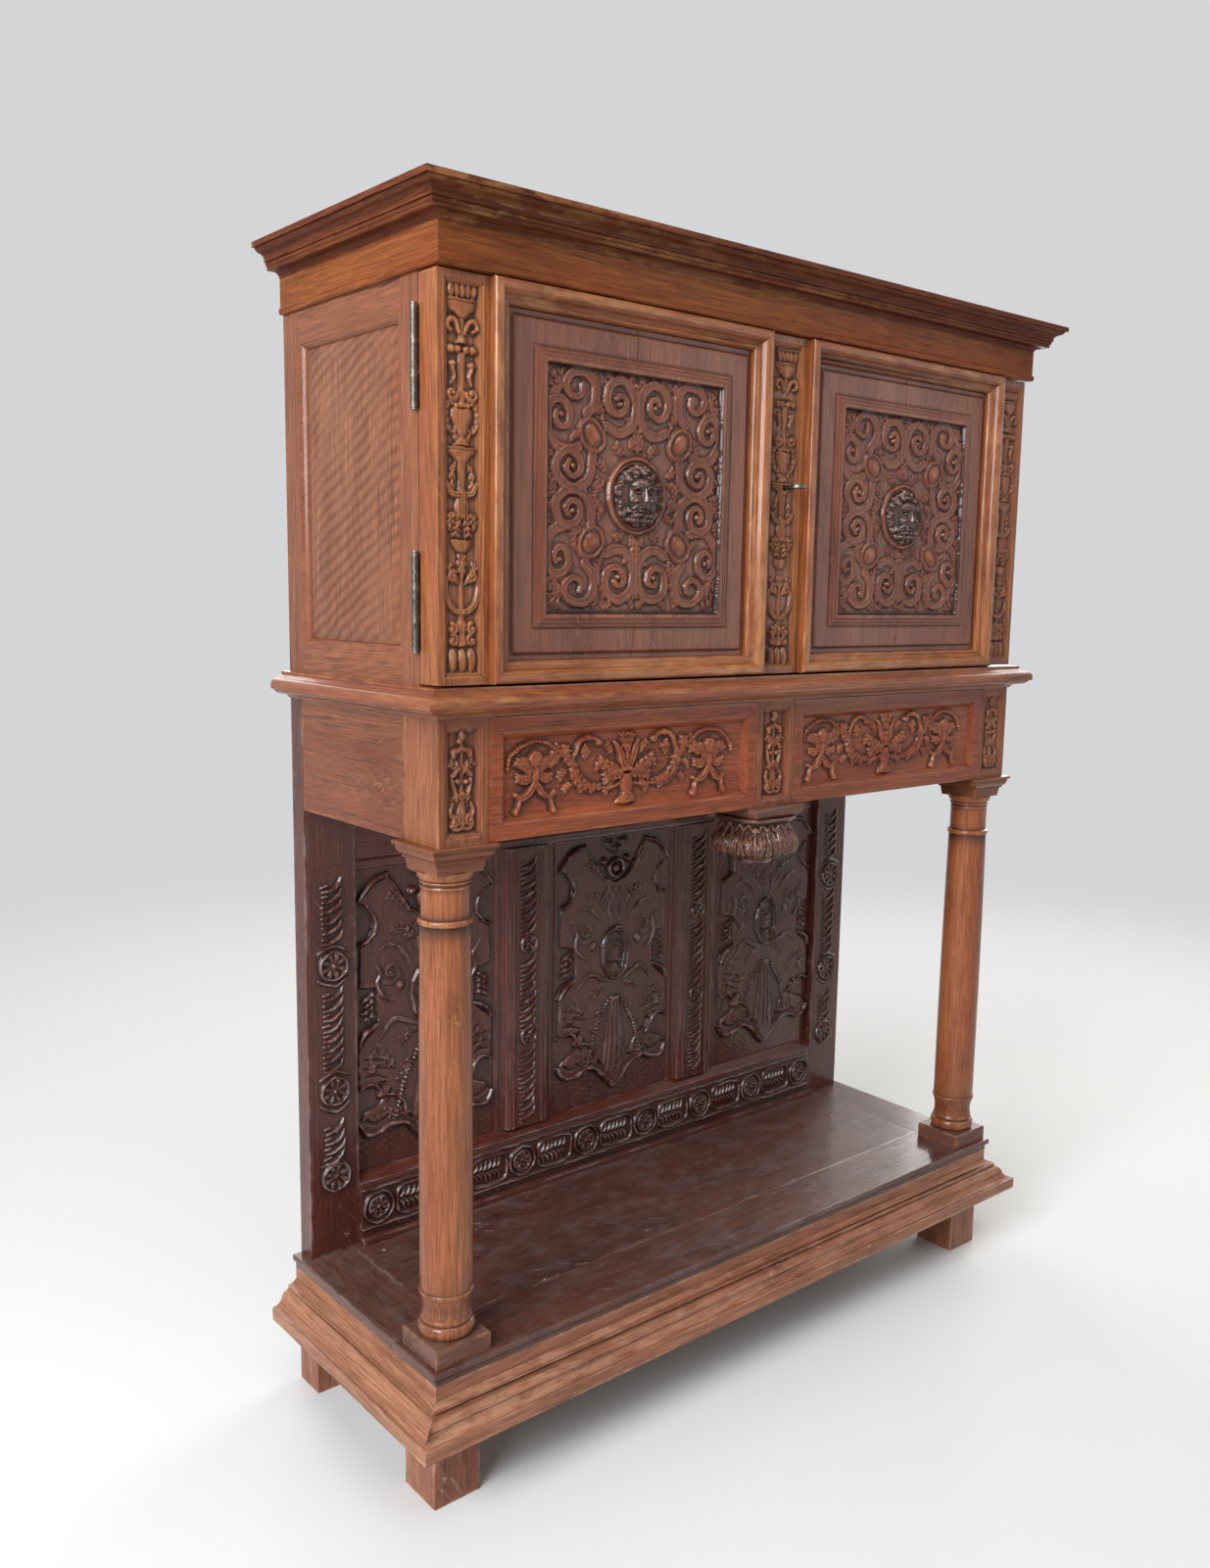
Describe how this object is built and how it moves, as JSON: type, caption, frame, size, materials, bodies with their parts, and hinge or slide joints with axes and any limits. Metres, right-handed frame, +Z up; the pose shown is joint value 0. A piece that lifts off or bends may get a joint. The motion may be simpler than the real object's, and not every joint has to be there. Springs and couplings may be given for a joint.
{
  "type": "carved sideboard",
  "caption": "Tall oak credence: a two-door carved cupboard over drawers, on turned columns, a panelled back and a moulded platform.",
  "frame": {"origin": "on the floor, in the middle of the whole piece's width and depth", "axes": "+Z up, the front with its doors faces -Y, +X to the right of someone facing it"},
  "size_m": [1.1446, 0.3928, 1.48],
  "materials": {
    "red_oak": "waxed",
    "golden_oak": "waxed",
    "dark_oak": "waxed",
    "inner_oak": "unfinished",
    "iron": "worn"
  },
  "bodies": {
    "carcase": {"back_bottom_rail": "dark_oak", "back_muntins": "dark_oak", "back_top_rail": "dark_oak", "base_moulding": "red_oak", "base_rails": "red_oak", "centre_back_panel": "dark_oak", "centre_post": "red_oak", "crown_moulding": "golden_oak", "cupboard_back": "inner_oak", "cupboard_floor": "inner_oak", "cupboard_shelf": "inner_oak", "drawer_runner_board": "inner_oak", "feet": "red_oak", "frieze_boards": "golden_oak", "hinge_pins": "iron", "left_back_panel": "dark_oak", "left_back_post": "dark_oak", "left_column_capital": "red_oak", "left_column_plinth": "red_oak", "left_column_shaft": "golden_oak", "left_corner_post": "red_oak", "left_hinge_case_leaves": "iron", "left_side_board": "red_oak", "left_side_frame": "golden_oak", "left_side_panel": "dark_oak", "pendant_abacus": "red_oak", "pendant_capital": "red_oak", "platform_end_boards": "red_oak", "platform_front_board": "red_oak", "platform_panel": "dark_oak", "right_back_panel": "dark_oak", "right_back_post": "dark_oak", "right_column_capital": "red_oak", "right_column_plinth": "red_oak", "right_column_shaft": "golden_oak", "right_corner_post": "red_oak", "right_hinge_case_leaves": "iron", "right_side_board": "red_oak", "right_side_frame": "golden_oak", "right_side_panel": "dark_oak", "top_board": "inner_oak", "waist_moulding": "red_oak"},
    "left_door": {"left_door_pilaster": "red_oak", "left_door_frame": "golden_oak", "left_door_panel": "dark_oak", "left_door_mask": "dark_oak", "left_hinge_door_leaves": "iron"},
    "right_door": {"right_door_pilaster": "red_oak", "right_door_frame": "golden_oak", "right_door_panel": "dark_oak", "right_door_mask": "dark_oak", "centre_door_pilaster": "red_oak", "right_hinge_door_leaves": "iron", "lock_case": "iron"},
    "left_drawer": {"left_drawer_front": "red_oak", "left_drawer_box": "inner_oak"},
    "right_drawer": {"right_drawer_front": "red_oak", "right_drawer_box": "inner_oak"},
    "key": {"key": "iron"},
    "lock_bolt": {"lock_bolt": "iron"}
  },
  "joints": [
    {"name": "left_door_hinge", "type": "hinge", "parent": "carcase", "child": "left_door", "pos_m": [-0.5335, -0.115, 1.185], "axis": [0, 0, -1], "range_deg": [0, 180]},
    {"name": "right_door_hinge", "type": "hinge", "parent": "carcase", "child": "right_door", "pos_m": [0.5335, -0.115, 1.185], "axis": [0, 0, 1], "range_deg": [0, 180]},
    {"name": "left_drawer_slide", "type": "slide", "parent": "carcase", "child": "left_drawer", "axis": [0, -1, 0], "range_m": [0, 0.24]},
    {"name": "right_drawer_slide", "type": "slide", "parent": "carcase", "child": "right_drawer", "axis": [0, -1, 0], "range_m": [0, 0.24]},
    {"name": "key_turn", "type": "hinge", "parent": "right_door", "child": "key", "pos_m": [0, -0.115, 1.21], "axis": [0, -1, 0], "range_deg": [0, 180]},
    {"name": "bolt_throw", "type": "slide", "parent": "right_door", "child": "lock_bolt", "axis": [-1, 0, 0], "range_m": [0, 0.012]}
  ],
  "couplings": [
    {"joint": "key_turn", "follows": "bolt_throw", "rad_per_m": 260}
  ]
}
